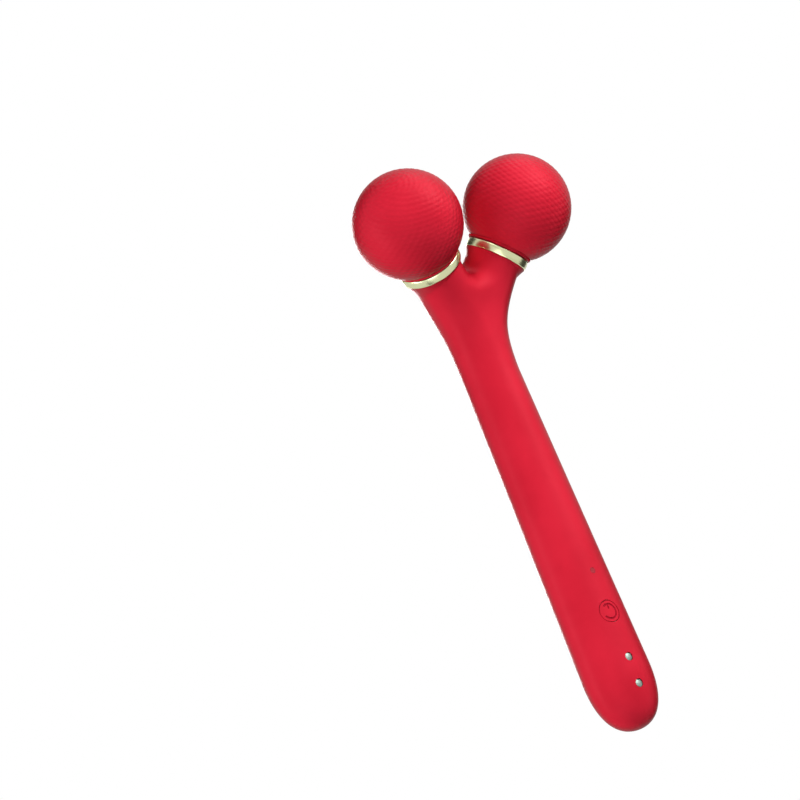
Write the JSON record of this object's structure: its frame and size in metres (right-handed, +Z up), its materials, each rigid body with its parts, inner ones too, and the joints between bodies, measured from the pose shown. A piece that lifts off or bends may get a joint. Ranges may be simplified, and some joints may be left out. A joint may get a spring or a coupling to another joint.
{
  "type": "facial toning device",
  "caption": "Hand-held vibrating face roller: soft-touch bent handle that forks into arms, each with a free-turning ridged ball on a gold collar, with power key and charging contacts.",
  "frame": {"origin": "middle of the device's box on the surface that it lies on, resting on its two balls and the tail of the handle with the key side down", "axes": "+Y from the tail of the handle to the balls, +Z up out of the back of the device, +X across it to the right"},
  "size_m": [0.0696, 0.166, 0.0334],
  "materials": {
    "sleeve_silicone": "satin soft-touch silicone",
    "ball_silicone": "satin silicone, finely ridged",
    "pale_gold": "polished",
    "housing_plastic": "moulded",
    "core_plastic": "moulded",
    "bush_plastic": "machined",
    "key_plastic": "satin",
    "board_laminate": "solder mask",
    "chip_resin": "moulded",
    "switch_metal": "stamped",
    "led_resin": "clear",
    "light_pipe_clear": "polished, translucent",
    "contact_metal": "plated",
    "magnet_nickel": "nickel plated",
    "cell_wrap": "shrink wrap over steel",
    "pad_foam": "closed-cell foam",
    "lead_sheath": "extruded",
    "motor_steel": "drawn",
    "boot_rubber": "moulded",
    "weight_steel": "sintered",
    "axle_steel": "ground",
    "screw_steel": "zinc plated",
    "seal_rubber": "moulded"
  },
  "bodies": {
    "handle": {"silicone_sleeve": "sleeve_silicone", "front_housing": "housing_plastic", "rear_housing": "housing_plastic", "housing_screws": "screw_steel", "main_board": "board_laminate", "board_components": "chip_resin", "tact_switch": "switch_metal", "status_led": "led_resin", "light_pipe": "light_pipe_clear", "charge_contacts": "contact_metal", "charging_magnets": "magnet_nickel", "battery_cell": "cell_wrap", "battery_pads": "pad_foam", "battery_leads": "lead_sheath", "motor_can": "motor_steel", "motor_boot": "boot_rubber", "motor_leads": "lead_sheath", "collar_right": "pale_gold", "axle_right": "axle_steel", "axle_seal_right": "seal_rubber", "end_washer_right": "axle_steel", "end_screw_right": "screw_steel", "collar_left": "pale_gold", "axle_left": "axle_steel", "axle_seal_left": "seal_rubber", "end_washer_left": "axle_steel", "end_screw_left": "screw_steel"},
    "roller_right": {"ball_cover_right": "ball_silicone", "core_cup_right": "core_plastic", "core_dome_right": "core_plastic", "bushes_right": "bush_plastic"},
    "roller_left": {"ball_cover_left": "ball_silicone", "core_cup_left": "core_plastic", "core_dome_left": "core_plastic", "bushes_left": "bush_plastic"},
    "key": {"power_key": "key_plastic"},
    "rotor": {"motor_rotor": "weight_steel"}
  },
  "joints": [
    {"name": "roller_right_spin", "type": "hinge", "parent": "handle", "child": "roller_right", "pos_m": [0.01932, 0.06747, 0.0155], "axis": [0.5105, 0.7691, -0.3844], "continuous": true},
    {"name": "roller_left_spin", "type": "hinge", "parent": "handle", "child": "roller_left", "pos_m": [-0.01932, 0.06747, 0.0155], "axis": [-0.5105, 0.7691, -0.3844], "continuous": true},
    {"name": "power_key_press", "type": "slide", "parent": "handle", "child": "key", "axis": [0, -0.1692, 0.9856], "range_m": [0, 0.00035], "stiffness_N_per_m": 800, "springref_m": -0.0005},
    {"name": "rotor_spin", "type": "hinge", "parent": "handle", "child": "rotor", "pos_m": [0, 0.0285, 0.02511], "axis": [0, 0.9856, 0.1692], "continuous": true}
  ]
}
